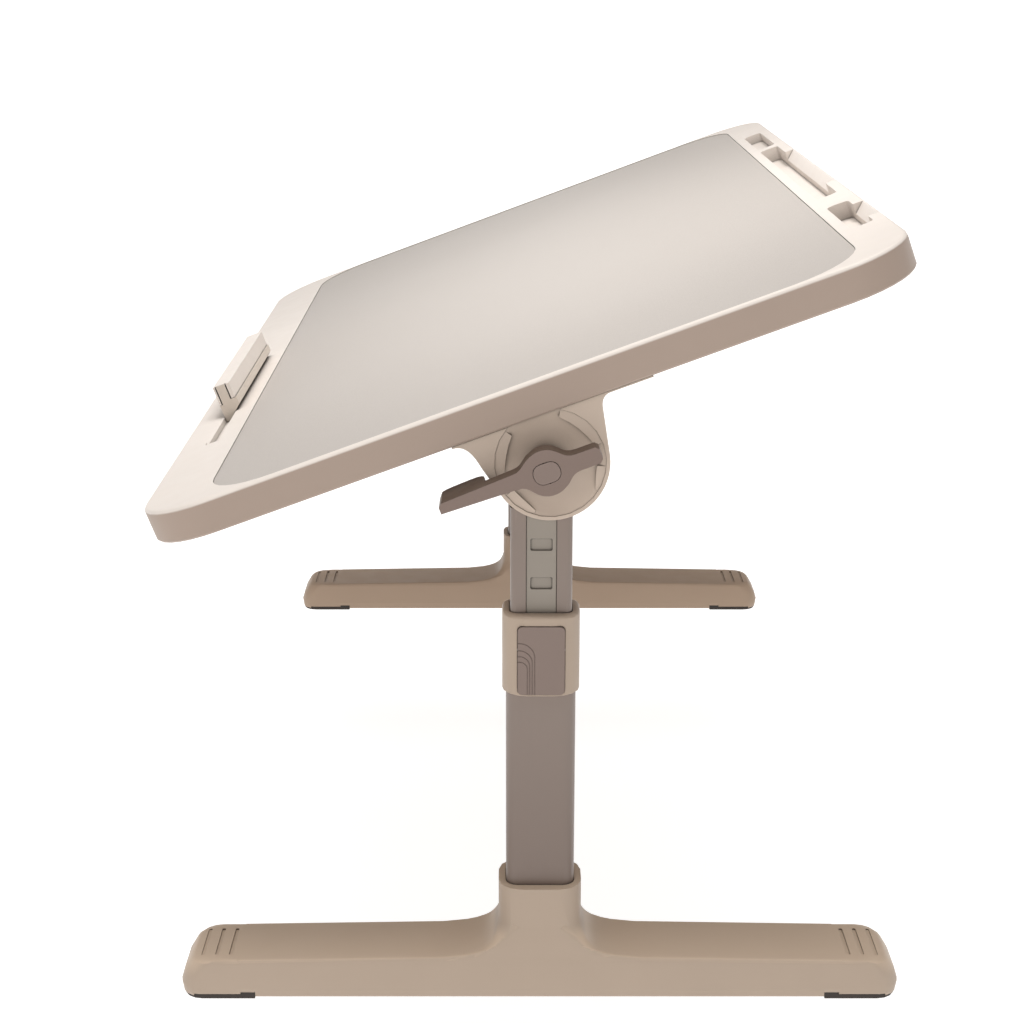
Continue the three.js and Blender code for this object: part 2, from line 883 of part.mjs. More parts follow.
function leverOutline() {
  const upLeft = leverUpLeft * degrees;
  const upRight = leverUpRight * degrees;
  const downLeft = leverDownLeft * degrees;
  const downRight = leverDownRight * degrees;
  const root = leverBoss * leverRootShare;
  const pull = leverBoss * leverPullShare;
  const round = leverTipLow;
  const at = (angle) => [leverBoss * Math.cos(angle), leverBoss * Math.sin(angle)];
  const shape = new THREE.Shape();
  shape.moveTo(-leverReach, leverTipHigh - round);
  shape.lineTo(-leverReach + round, leverTipHigh);
  shape.lineTo(-root, leverRootHigh);
  shape.bezierCurveTo(-pull, leverRootHigh, -pull, at(upLeft)[1] * leverSteepShare, ...at(upLeft));
  shape.absarc(0, 0, leverBoss, upLeft, upRight, true);
  shape.bezierCurveTo(pull, at(upRight)[1] * leverEasyShare, pull, leverShortHigh, root, leverShortHigh);
  shape.lineTo(leverShortReach - round, leverShortHigh);
  shape.lineTo(leverShortReach, leverShortHigh - round);
  shape.lineTo(leverShortReach, round - leverShortLow);
  shape.lineTo(leverShortReach - round, -leverShortLow);
  shape.lineTo(root, -leverShortLow);
  shape.bezierCurveTo(pull, -leverShortLow, pull, at(downRight)[1] * leverSteepShare, ...at(downRight));
  shape.absarc(0, 0, leverBoss, downRight, downLeft, true);
  shape.bezierCurveTo(-pull, at(downLeft)[1] * leverEasyShare, -pull, -leverRootLow, -root, -leverRootLow);
  shape.lineTo(-leverReach, -leverTipLow);
  shape.closePath();
  return shape;
}

// The paddle's face seen square to the arm, with its hidden corners rounded
function paddlePlan() {
  const innerFace = leverFront - paddleDepth;
  const shape = new THREE.Shape();
  shape.moveTo(-leverReach, leverFront);
  shape.lineTo(-leverReach, innerFace + paddleCorner);
  shape.quadraticCurveTo(-leverReach, innerFace, -leverReach + paddleCorner, innerFace);
  shape.lineTo(-leverReach + paddleLength - paddleCorner, innerFace);
  shape.quadraticCurveTo(
    -leverReach + paddleLength,
    innerFace,
    -leverReach + paddleLength,
    innerFace + paddleCorner,
  );
  shape.lineTo(-leverReach + paddleLength, leverFront);
  shape.closePath();
  return shape;
}

function clampLever() {
  const back = leverFront - leverThickness;
  const plate = across(leverOutline(), back, leverFront, leverSteps);
  const deepArm = across(leverOutline(), leverFront - paddleDepth - overrun, leverFront, leverSteps);
  const paddle = deepArm.intersect(upright(paddlePlan(), -leverBoss, leverBoss));
  const neckEnd = hubFace - dishDepth + washerThickness + 2 * gap;
  const neck = rodY(leverNeckRadius, neckEnd, back + overrun, 0, 0);
  const capPocket = roundedShape(capLength / 2 + gap, capHeight / 2 + gap, capCorner + gap);
  return cut(
    union(plate, paddle, neck),
    rodY(boltRadius + pinFit, neckEnd - overrun, leverFront, 0, 0, boreSteps),
    rodY(insertRadius + gap, capSeat - gap - insertLength - gap, leverFront, 0, 0, hexSides),
    across(capPocket, capSeat - gap, leverFront + overrun),
  );
}

function leverCap() {
  const shape = roundedShape(capLength / 2, capHeight / 2, capCorner);
  return across(shape, capSeat, leverFront + capProud);
}

function leverInsert() {
  const high = capSeat - 2 * gap;
  return cut(
    rodY(insertRadius, high - insertLength + gap, high, 0, 0, hexSides),
    rodY(boltRadius + pinFit, high - insertLength - overrun, high + overrun, 0, 0, boreSteps),
  );
}

// Upper leg, upright, with Z from the pivot and X from the tube's axis

const boreDepth = upperDepth - upperWall - upperFrontWall;
const boreCentre = (upperWall - upperFrontWall) / 2;
const boreWidth = upperWidth - 2 * upperWall;
const upperTop = -upperTopDrop;
const upperBottom = -upperBottomDrop;

function upperTube() {
  const section = roundedShape(upperWidth / 2, upperDepth / 2, upperCorner, 0, 0, tubeCornerSteps);
  const body = upright(section, upperBottom, upperTop);
  const bore = upright(
    roundedShape(boreWidth / 2, boreDepth / 2, upperCorner / 2, 0, boreCentre, smallCornerSteps),
    upperBottom - overrun,
    upperTop + overrun,
  );
  const face = upperDepth / 2;
  const channel = box(
    -channelWidth / 2,
    channelWidth / 2,
    face - channelDepth,
    face + overrun,
    upperBottom - overrun,
    upperTop + overrun,
  );
  return cut(body, bore, channel);
}

function slotStrip() {
  const back = upperDepth / 2 - channelDepth + gap;
  const face = back + stripThickness;
  const strip = box(-stripWidth / 2, stripWidth / 2, back, face, upperBottom, upperTop);
  const notches = Array.from({ length: notchCount }, (_, row) => {
    const z = -firstNotchDrop - row * notchPitch;
    const shape = roundedShape(notchWidth / 2, notchHeight / 2, notchCorner, 0, z, chamferSteps);
    return across(shape, face - notchDepth, face + overrun);
  });
  return cut(strip, ...notches);
}

// Fills the tube's bore from zLow to zHigh
function borePlug(zLow, zHigh) {
  const halfX = boreWidth / 2 - gap;
  const halfY = boreDepth / 2 - gap;
  const section = roundedShape(halfX, halfY, upperCorner / 2, 0, boreCentre, smallCornerSteps);
  return upright(section, zLow, zHigh);
}

function legHead() {
  const half = headThickness / 2;
  const shoulderLow = upperTop + gap;
  const disc = rodY(headRadius, -half, half, pivotOffset, 0);
  const neckHalf = boreWidth / 2;
  const neck = box(-neckHalf, neckHalf, -half, half, shoulderLow, 0);
  const plug = borePlug(upperTop - headPlugLength, upperTop + overrun);
  return cut(
    union(disc, neck, plug),
    rodY(boltRadius + pinFit, -half - overrun, half + overrun, pivotOffset, 0, boreSteps),
  );
}

function guideShoe() {
  const halfX = lowerWidth / 2 - lowerWall - slideFit;
  const halfY = lowerDepth / 2 - lowerWall - slideFit;
  const block = upright(
    roundedShape(halfX, halfY, upperCorner, 0, 0, tubeCornerSteps),
    upperBottom - gap - shoeHeight,
    upperBottom - gap,
  );
  const plug = borePlug(upperBottom - gap - overrun, upperBottom + shoePlug);
  return union(block, plug);
}

// Lower leg, upright, with Z from the floor

function lowerTube() {
  const low = socketFloor + gap;
  return cut(
    upright(roundedShape(lowerWidth / 2, lowerDepth / 2, lowerCorner), low, lowerTop),
    upright(
      roundedShape(lowerWidth / 2 - lowerWall, lowerDepth / 2 - lowerWall, upperCorner + slideFit),
      low - overrun,
      lowerTop + overrun,
    ),
  );
}

const collarBottom = lowerTop - collarGrip;
const collarTop = lowerTop + collarRise;
const buttonBottom = collarBottom + buttonInset;
const buttonTop = buttonBottom + buttonHeight;
const buttonBack = hubFace + buttonProud - buttonThickness;
const rockerY = hubFace - rockerDepth;
const rockerHeight = buttonBottom + rockerRise;
const toothHeight = buttonTop + toothRise;
const pivotHeight = toothHeight + firstNotchDrop + engagedNotch * notchPitch;

// The button's outline, grown by its clearance for the pocket that holds it
function buttonShape(clearance) {
  const middle = buttonBottom + buttonHeight / 2;
  const halfX = buttonWidth / 2 + clearance;
  const halfZ = buttonHeight / 2 + clearance;
  return roundedShape(halfX, halfZ, buttonCorner, 0, middle, tubeCornerSteps);
}

function collar() {
  const depth = collarBack + hubFace;
  const centre = (hubFace - collarBack) / 2;
  const level = (z, inset) => ({
    z,
    y: centre,
    halfX: collarWidth / 2 - inset,
    halfY: depth / 2 - inset,
    corner: collarCorner,
    outwardCorner: collarFrontCorner,
  });
  const body = stacked([
    level(collarBottom, collarEase),
    level(collarBottom + collarEase, 0),
    level(collarTop - collarChamfer, 0),
    level(collarTop - collarEase, collarEase),
    level(collarTop, collarChamfer),
  ]);
  const lowerBore = upright(
    roundedShape(lowerWidth / 2 + gap, lowerDepth / 2 + gap, lowerCorner),
    collarBottom - overrun,
    lowerTop + gap,
  );
  const upperBore = upright(
    roundedShape(upperWidth / 2 + slideFit, upperDepth / 2 + slideFit, upperCorner, 0, 0, tubeCornerSteps),
    lowerTop,
    collarTop + overrun,
  );
  const pocket = across(buttonShape(gap), lowerDepth / 2, hubFace + overrun);
  const toothRoom = box(
    -latchWidth / 2 - slideFit,
    latchWidth / 2 + slideFit,
    0,
    hubFace - collarFrontWall,
    buttonTop - 2 * latchTooth,
    toothHeight + latchTooth / 2 + 2 * slideFit,
  );
  const pinHole = rodX(
    rockerRadius + pinFit,
    -rockerPinLength / 2 - gap,
    rockerPinLength / 2 + gap,
    rockerY,
    rockerHeight,
    thinPinSides,
  );
  return cut(body, lowerBore, upperBore, pocket, toothRoom, pinHole);
}

function releaseButton() {
  const plate = across(buttonShape(0), buttonBack, hubFace + buttonProud);
  const lugs = [-1, 1].map((side) => {
    const low = side * lugSpacing / 2 - lugThickness / 2;
    const high = low + lugThickness;
    return union(
      rodX(lugRadius, low, high, rockerY, rockerHeight, boreSteps),
      box(
        low,
        high,
        rockerY,
        buttonBack + gap,
        rockerHeight - lugRadius,
        rockerHeight + lugRadius,
      ),
    );
  });
  const latchSeat = box(
    -latchWidth / 2,
    latchWidth / 2,
    rockerY - rockerRadius + gap,
    buttonBack + gap,
    rockerHeight + latchLow,
    buttonTop - 2 * buttonCorner,
  );
  const pinHole = rodX(rockerRadius + pinFit, -lugSpacing, lugSpacing, rockerY, rockerHeight, thinPinSides);
  return cut(union(plate, latchSeat, ...lugs), pinHole);
}

// Bent plate on the button's back, with a tooth that stands in the tube's channel
function latch() {
  const outer = rockerY - rockerRadius;
  const inner = outer - latchThickness;
  const tip = upperDepth / 2 - gap;
  const plate = box(
    -latchWidth / 2,
    latchWidth / 2,
    inner,
    outer,
    rockerHeight + latchLow,
    toothHeight + latchTooth / 2,
  );
  const tooth = box(
    -latchWidth / 2,
    latchWidth / 2,
    tip,
    outer,
    toothHeight - latchTooth / 2,
    toothHeight + latchTooth / 2,
  );
  return union(plate, tooth);
}

function rockerPin() {
  const half = rockerPinLength / 2;
  return rodX(rockerRadius, -half, half, rockerY, rockerHeight, thinPinSides);
}

class Helix extends THREE.Curve {
  constructor(radius, pitch, turns) {
    super();
    this.radius = radius;
    this.pitch = pitch;
    this.turns = turns;
  }

  getPoint(share, target = new THREE.Vector3()) {
    const angle = share * this.turns * 2 * Math.PI;
    const run = (share - 1 / 2) * this.turns * this.pitch;
    return target.set(run, this.radius * Math.cos(angle), this.radius * Math.sin(angle));
  }
}

function buttonSpring() {
  const section = new THREE.Shape();
  for (let side = 0; side < coilSides; side += 1) {
    const angle = side / coilSides * 2 * Math.PI;
    const point = [coilWire / 2 * Math.cos(angle), coilWire / 2 * Math.sin(angle)];
    if (side === 0) {
      section.moveTo(...point);
    } else {
      section.lineTo(...point);
    }
  }
  section.closePath();
  const geometry = new THREE.ExtrudeGeometry(section, {
    steps: coilTurns * coilSteps,
    extrudePath: new Helix(coilRadius, coilPitch, coilTurns),
  });
  geometry.translate(0, rockerY, rockerHeight);
  return solid(geometry);
}

// Foot

// Half the depth of the foot's side at a height
function sideHalf(z) {
  const base = footDepth / 2;
  const top = footTopDepth / 2;
  if (z <= footWaist) {
    return base - footUndercut * (footWaist - z) / footWaist;
  }
  if (z >= footHeight) {
    return top - (z - footHeight) / (socketTop - footHeight) * (top - socketDepth / 2);
  }
  return base + (top - base) * (z - footWaist) / (footHeight - footWaist);
}

function footArm() {
  const half = footLength / 2;
  const level = (z, endInset, sideInset = 0) => ({
    z,
    halfX: half - endInset,
    halfY: sideHalf(z) - sideInset,
    corner: footCorner,
  });
  const roundLow = footHeight - footTopRound;
  return stacked([
    level(footBottom, footUndercut),
    level(footWaist, 0),
    level((footWaist + roundLow) / 2, footEndSlope / 3),
    level(roundLow, footEndSlope),
    ...footRoundShares.map(([down, end, side]) => (
      level(footHeight - footTopRound * down, footEndSlope + footEndRound * end, footTopRound * side)
    )),
  ]);
}

// The rise falls off with the distance from the socket, from the top of the curved part to nothing
const sweepStart = (Math.sqrt(sweepReach ** 2 + 4 * sweepFactor * sweepReach / sweepRise) - sweepReach) / 2;
const sweepTail = sweepFactor / (sweepReach + sweepStart);

// The steps part the curve by its slope
function sweepCurve() {
  const flattest = Math.atan(sweepTail ** 2 / sweepFactor);
  const steepest = Math.atan((sweepRise + sweepTail) ** 2 / sweepFactor);
  return Array.from({ length: sweepSteps + 1 }, (_, step) => {
    const slope = flattest + (steepest - flattest) * (step / sweepSteps) ** sweepEase;
    const rise = Math.sqrt(sweepFactor * Math.tan(slope)) - sweepTail;
    return { z: footHeight + rise, grow: sweepFactor / (rise + sweepTail) - sweepStart };
  });
}

// Section of the foot's sides across an arm, with its upper edges rounded
function sideSection(x, top) {
  const base = footHeight - 2 * footTopRound;
  const shoulder = top - footTopRound;
  const half = [
    [sideHalf(base), base],
    [sideHalf(Math.min(footHeight, shoulder - gap)), Math.min(footHeight, shoulder - gap)],
    [sideHalf(shoulder), shoulder],
    ...footRoundShares.map(([down, , side]) => {
      const z = top - footTopRound * down;
      return [sideHalf(z) - footTopRound * side, z];
    }),
  ];
  const mirror = half.map(([y, z]) => [-y, z]).reverse();
  return [...half, ...mirror].map(([y, z]) => [x, y, z]);
}

// The rise runs the full depth of the foot. Its corners widen towards the socket.
function footSweep() {
  const curve = sweepCurve();
  const skirt = curve.map(({ z, grow }) => {
    const share = Math.max(z - footHeight, 0) / sweepRise;
    return {
      z,
      halfX: socketWidth / 2 + grow,
      halfY: sideHalf(z),
      corner: sweepCorner + (socketCorner - sweepCorner) * share ** cornerEase,
    };
  });
  skirt.unshift({ ...skirt[0], z: footHeight - footTopRound });
  const places = curve.map(({ z, grow }) => [socketWidth / 2 + grow, z + gap]);
  const sides = skinned([
    ...places.map(([x, top]) => sideSection(-x, top)),
    ...places.reverse().map(([x, top]) => sideSection(x, top)),
  ]);
  const shoulder = footHeight + sweepRise;
  const level = (z, halfY) => ({ z, halfX: socketWidth / 2, halfY, corner: socketCorner });
  const post = stacked([
    level(footHeight / 2, sideHalf(shoulder)),
    level(shoulder, sideHalf(shoulder)),
    level(socketTop, socketDepth / 2),
  ], tubeCornerSteps);
  return union(stacked(skirt, tubeCornerSteps).intersect(sides), post);
}

function footGrooves() {
  const cutters = [];
  for (const end of [-1, 1]) {
    for (let row = 0; row < grooveCount; row += 1) {
      const x = end * (footLength / 2 - grooveFromEnd - row * groovePitch);
      const corner = (grooveWidth - gap) / 2;
      const shape = roundedShape(grooveWidth / 2, grooveLength / 2, corner, x, 0, smallCornerSteps);
      cutters.push(upright(shape, footHeight - grooveDepth, footHeight + overrun));
    }
  }
  return cutters;
}

// Each arm is open underneath, from the solid middle to the pad
function footArches() {
  const xLow = archClear;
  const xHigh = footLength / 2 - padLength - footWall;
  const half = sideHalf(footHeight) - footWall;
  return [-1, 1].map((side) => {
    const middle = side * (xLow + xHigh) / 2;
    const shape = roundedShape((xHigh - xLow) / 2, half, footWall, middle, 0, smallCornerSteps);
    return upright(shape, footBottom - overrun, footHeight - footRoof);
  });
}

// The pad under one end of the foot. Grown by its clearance, it cuts its own seat.
function footPad(end, grow = 0) {
  const halfX = footLength / 2 - footUndercut - padInset + grow;
  const halfY = footDepth / 2 - padInset + grow;
  const inner = footLength / 2 - padLength - grow;
  const low = grow ? -overrun : 0;
  const span = (from, to) => (end > 0 ? [from, to] : [-to, -from]);
  const plate = upright(roundedShape(halfX, halfY, footCorner), low, padThickness + grow);
  const reach = box(...span(inner, halfX + overrun), -footDepth, footDepth, low - overrun, footHeight);
  const bar = box(...span(inner, inner + padBar + 2 * grow), -halfY, halfY, low, padBarHeight + grow);
  return union(plate.intersect(reach), bar);
}

function foot() {
  const bore = upright(
    roundedShape(lowerWidth / 2 + gap, lowerDepth / 2 + gap, lowerCorner),
    socketFloor,
    socketTop + overrun,
  );
  const boltHole = rodZ(footBoltRadius + pinFit, 0, socketFloor + overrun, 0, 0, boreSteps);
  const boltWell = rodZ(
    footBoltHeadRadius + gap,
    -overrun,
    socketFloor - footBoltFloor,
    0,
    0,
    boreSteps,
  );
  return cut(
    union(footArm(), footSweep()),
    bore,
    boltHole,
    boltWell,
    ...footGrooves(),
    ...footArches(),
    footPad(-1, gap),
    footPad(1, gap),
  );
}

function tubePlug() {
  const low = socketFloor + gap;
  const halfX = lowerWidth / 2 - lowerWall - gap;
  const halfY = lowerDepth / 2 - lowerWall - gap;
  return cut(
    upright(roundedShape(halfX, halfY, upperCorner, 0, 0, tubeCornerSteps), low, low + plugLength),
    rodZ(footBoltRadius + pinFit, low - overrun, low + plugLength + overrun, 0, 0, boreSteps),
  );
}

function footBolt() {
  const headTop = socketFloor - footBoltFloor - gap;
  return union(
    rodZ(footBoltHeadRadius, headTop - footBoltHead, headTop, 0, 0, boreSteps),
    rodZ(footBoltRadius, headTop - footBoltHead / 2, socketFloor + plugLength, 0, 0, boreSteps),
  );
}

// Materials

function plastic(color, roughness) {
  return new THREE.MeshStandardMaterial({ color, roughness, metalness: 0 });
}

function metal(color, roughness) {
  return new THREE.MeshStandardMaterial({ color, roughness, metalness: 1 });
}

const cream = plastic(0xe9dfd3, 0.45);
const greige = plastic(0xb7aea4, 0.6);
const tan = plastic(0xb5a18f, 0.5);
const taupe = plastic(0x86766b, 0.45);
const paintedTube = new THREE.MeshStandardMaterial({ color: 0x8d7d73, roughness: 0.4, metalness: 0.3 });
const inlay = plastic(0x958a7e, 0.5);
const rubber = plastic(0x4a3f39, 0.9);
const steel = metal(0xb4b4b6, 0.35);
const darkSteel = metal(0x4c4c50, 0.45);
const brass = metal(0xb08d57, 0.4);
const friction = plastic(0x3a3632, 0.95);

// Assembly

function frame(x, y, z, tilt = 0) {
  const group = new THREE.Group();
  group.position.set(x, y, z);
  group.rotation.y = -tilt * degrees;
  return group;
}

function add(group, name, geometry, material) {
  const mesh = new THREE.Mesh(geometry, material);
  mesh.name = name;
  group.add(mesh);
}

const [inboardScrew, outboardScrew] = mountScrewPlaces();

const mountPieces = [
  ['hinge_mount', foldMount(), steel],
  ['mount_screw_inboard', mountScrew(inboardScrew), darkSteel],
  ['mount_screw_outboard', mountScrew(outboardScrew), darkSteel],
  ['fold_pin', foldPin(), steel],
];

const hubPieces = [
  ['hub_housing', hubHousing(), tan],
  ['friction_disc_outer', frictionDisc(headThickness / 2 + gap), friction],
  ['friction_disc_inner', frictionDisc(-headThickness / 2 - gap - frictionThickness), friction],
  ['clamp_bolt', clampBolt(), steel],
  ['thrust_washer', thrustWasher(), steel],
  ['clamp_lever', clampLever(), taupe],
  ['lever_cap', leverCap(), taupe],
  ['lever_insert', leverInsert(), brass],
];

const upperPieces = [
  ['leg_head', legHead(), taupe],
  ['upper_tube', upperTube(), paintedTube],
  ['slot_strip', slotStrip(), inlay],
  ['guide_shoe', guideShoe(), friction],
];

const lowerPieces = [
  ['collar', collar(), tan],
  ['release_button', releaseButton(), taupe],
  ['latch', latch(), steel],
  ['rocker_pin', rockerPin(), steel],
  ['button_spring', buttonSpring(), steel],
  ['lower_tube', lowerTube(), paintedTube],
  ['tube_plug', tubePlug(), friction],
  ['foot', foot(), tan],
  ['foot_pad_low', footPad(-1), rubber],
  ['foot_pad_high', footPad(1), rubber],
  ['foot_bolt', footBolt(), darkSteel],
];

const table = new THREE.Group();

const top = frame(0, 0, pivotHeight, tiltAngle);
add(top, 'top_frame', geometryOf(topFrame()), cream);
add(top, 'surface_panel', geometryOf(surfacePanel()), greige);
add(top, 'book_stop', geometryOf(bookStop()), tan);
add(top, 'book_stop_clip', geometryOf(stopClip()), cream);
table.add(top);

for (const [side, sign] of [['near', -1], ['far', 1]]) {
  const addAll = (group, pieces) => {
    for (const [name, piece, material] of pieces) {
      const geometry = geometryOf(piece);
      add(group, `${side}_${name}`, sign < 0 ? mirrored(geometry) : geometry, material);
    }
  };
  const hub = frame(0, sign * legPlane, 0);
  addAll(hub, [...mountPieces, ...hubPieces]);
  top.add(hub);
  const upper = frame(-pivotOffset, sign * legPlane, pivotHeight);
  addAll(upper, upperPieces);
  table.add(upper);
  const lower = frame(-pivotOffset, sign * legPlane, 0);
  addAll(lower, lowerPieces);
  table.add(lower);
}

// The origin goes on the floor, under the middle of the whole object
const extent = new THREE.Box3().setFromObject(table, true);
const middle = extent.getCenter(new THREE.Vector3());
table.position.set(-middle.x, -middle.y, -extent.min.z);

const bedTable = new THREE.Group();
bedTable.add(table);

export default bedTable;
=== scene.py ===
import json
import math

import bmesh
import bpy
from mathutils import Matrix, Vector


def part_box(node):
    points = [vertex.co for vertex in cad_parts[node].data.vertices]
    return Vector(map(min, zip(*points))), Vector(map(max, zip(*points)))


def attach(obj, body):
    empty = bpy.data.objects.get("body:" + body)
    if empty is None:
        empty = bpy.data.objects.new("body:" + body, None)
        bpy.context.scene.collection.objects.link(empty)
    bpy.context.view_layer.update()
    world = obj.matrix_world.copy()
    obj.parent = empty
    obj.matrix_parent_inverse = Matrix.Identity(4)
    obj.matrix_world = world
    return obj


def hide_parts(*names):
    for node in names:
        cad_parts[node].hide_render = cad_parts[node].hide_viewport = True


# Looks and studio light for a folding bed table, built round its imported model, in metres, +Z up.
# The user sits on the -X side and the near leg is on the -Y side.

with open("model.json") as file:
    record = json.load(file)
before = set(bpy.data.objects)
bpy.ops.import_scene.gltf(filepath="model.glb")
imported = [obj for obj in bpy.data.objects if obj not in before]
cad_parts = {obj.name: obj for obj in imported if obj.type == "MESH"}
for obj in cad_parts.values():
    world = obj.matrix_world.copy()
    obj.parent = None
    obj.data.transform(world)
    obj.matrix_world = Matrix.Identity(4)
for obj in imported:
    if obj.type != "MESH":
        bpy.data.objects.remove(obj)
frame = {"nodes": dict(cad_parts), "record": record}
bpy.context.view_layer.update()
scene = bpy.context.scene

MM = 0.001
SIDES = ("near", "far")

# Camera, from the axis of the leg's tube at the floor
CAMERA_FROM_LEG = Vector((-0.01811, -1.50081, 0.66107))
CAMERA_PITCH = math.radians(16.695)
CAMERA_LENS = 66.83
CAMERA_SENSOR = 36.0

# Tabletop, in its own slope, with heights above the hub's pivot
TILT = math.radians(20.3)
TOP_LENGTH = 0.800
TOP_WIDTH = 0.500
TOP_CORNER = 0.048
TOP_FACE = 0.0508
PANEL_MIDDLE = 0.0075
PANEL_HALF = 0.2105

# Where the top's colours change to painted shade on its outer wall and to its darker underside, each from
# start to full, in mm
WALL_DEPTHS = (1.4, 2.6)
WALL_FROM_OUTLINE = (-4.0, -2.5)
INSIDE_OUTLINE = (-1.5, -0.5)
POCKET_DEPTHS = (14.0, 15.0)
PANEL_DEPTHS = (2.0, 3.0)
PANEL_INSETS = (2.0, 4.0)

# Facets that are shaded as one face, and the distance within which their corners are one
SMOOTH_LIMIT = math.radians(36.0)
WELD = 2e-6

# Grooves on the release button, in mm: each leaves its left edge, bends and leaves its lower edge
GROOVES = [(10.7, 10.7, 9.6), (15.4, 9.2, 8.2), (19.3, 7.6, 6.4), (23.0, 6.2, 4.8)]  # down, across, bend
GROOVE_RADIUS = 0.36
GROOVE_STEPS = 12
GROOVE_SIDES = 10

# Colours, linear
CREAM = (0.745, 0.684, 0.634)
# Painted shade: the cream as it looks on the top's outer wall
WALL_PAINTED_SHADE = (0.38, 0.298, 0.248)
UNDERSIDE = (0.36, 0.295, 0.245)
PANEL = (0.498, 0.458, 0.425)
TAN = (0.440, 0.350, 0.277)
# Painted light: the near foot's faces that look up, lighter than its tan sides
FOOT_TOP_PAINTED_LIGHT = (0.57, 0.45, 0.345)
# Painted shade: the far foot as a darker, browner copy of the tan
FAR_FOOT_PAINTED_SHADE = (0.400, 0.295, 0.217)
TAUPE = (0.233, 0.177, 0.154)
# Painted shade: the lever's faces that look up, darkened where the top shades them
LEVER_TOP_PAINTED_SHADE = (0.088, 0.060, 0.045)
TUBE = (0.235, 0.185, 0.158)
TUBE_LOW = (0.182, 0.135, 0.112)
INLAY = (0.306, 0.273, 0.236)
STOP_CORE = (0.63, 0.56, 0.49)
# Painted light: the hub as a lighter copy of the tan
HUB_PAINTED_LIGHT = (0.545, 0.45, 0.375)
RUBBER = (0.040, 0.032, 0.028)
STEEL = (0.60, 0.60, 0.61)
DARK_STEEL = (0.08, 0.08, 0.085)
BRASS = (0.72, 0.53, 0.27)
FRICTION = (0.05, 0.045, 0.04)
FLOOR = (0.50, 0.50, 0.50)

# Finishes
SATIN = 0.46  # roughness of most mouldings
TAUPE_SATIN = 0.42
GLOSS = 0.3  # specular level of mouldings
LEVER_GLOSS = 0.12
PAINTED_SHADE_SHARE = 0.35  # colour of the painted shade deep in a seam or hollow, as a share of the open colour
LOW_ON_TUBE = (0.04, 0.24)  # heights between which the tube turns from its low colour to its own
EDGE_SAMPLES = 6
PAINTED_SHADE_SAMPLES = 8

# Painted shade in seams and hollows, darkest where little is open round a point: reach, clearance where
# it starts, clearance where it is full, weight
SEAM_PAINTED_SHADE = (0.0018, 0.88, 0.45, 0.85)
SOFT_SEAM_PAINTED_SHADE = (0.0018, 0.88, 0.45, 0.45)
HUB_SEAM_PAINTED_SHADE = (0.0036, 0.93, 0.50, 0.9)
HOLLOW_PAINTED_SHADE = (0.012, 0.80, 0.25, 0.6)
HUB_HOLLOW_PAINTED_SHADE = (0.014, 0.93, 0.50, 0.75)

# Floor
FLOOR_REACH = 40.0
FLOOR_GLOW = 0.80
FLOOR_GLOW_COLOUR = (1.0, 0.995, 0.985)
FLOOR_DROP = 0.115  # the top is the root, so some limits take the feet lower than at rest

# Light of the room: dim at the edge, bright overhead and white low over the floor
WORLD_COLOUR = (1.0, 0.985, 0.97)
WORLD_TOWARDS = (0.0, -0.04, 1.0)
WORLD_EDGE = 0.55
WORLD_DIM = 0.13
WORLD_BRIGHT = 1.3
WORLD_HORIZON = 1.05
HORIZON_RISE = (0.10, 0.20)

# Broad light from far above, and a spot on the panel with its power in watts
CEILING_STRENGTH = 0.7
CEILING_SPREAD = 12.0
CEILING_LEAN = (2.0, -2.0, 0.0)
CEILING_COLOUR = (1.0, 0.985, 0.965)
POOL_PLACE = (0.06, -0.02, 1.40)
POOL_TARGET = (0.06, -0.02, 0.40)
POOL_SPREAD = 46.0
POOL_POWER = 9.5
POOL_RADIUS = 0.12
POOL_COLOUR = (1.0, 0.99, 0.97)

# Softboxes: place, target, size, power in watts, colour
OVERHEAD = ((-0.03, -0.12, 1.10), (-0.03, -0.12, 0.38), (0.5, 0.5), 3.1, (1.0, 0.985, 0.965))
SHEEN = ((-0.40, 2.8, 1.15), (0.0, 0.0, 0.40), (0.7, 0.4), 1.5, (1.0, 0.98, 0.95))
FRONT = ((-0.45, -2.1, 0.85), (0.0, -0.40, 0.25), (2.4, 0.5), 7.4, (1.0, 0.925, 0.85))


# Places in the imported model


def leg_axis():
    """X of the near leg's tube."""
    low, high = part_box("near_upper_tube")
    return (low.x + high.x) / 2


def pivot():
    """Point on the tilt axis, half way between the legs."""
    low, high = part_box("near_clamp_bolt")
    return Vector(((low.x + high.x) / 2, 0.0, (low.z + high.z) / 2))


def add_object(name, data):
    made = bpy.data.objects.new(name, data)
    scene.collection.objects.link(made)
    return made


def add_camera():
    data = bpy.data.cameras.new("camera")
    data.lens = CAMERA_LENS
    data.sensor_width = CAMERA_SENSOR
    camera = add_object("camera", data)
    camera.location = Vector((leg_axis(), 0.0, 0.0)) + CAMERA_FROM_LEG
    camera.rotation_euler = (math.pi / 2 - CAMERA_PITCH, 0.0, 0.0)
    scene.camera = camera


# Smooth shading of the faceted solids


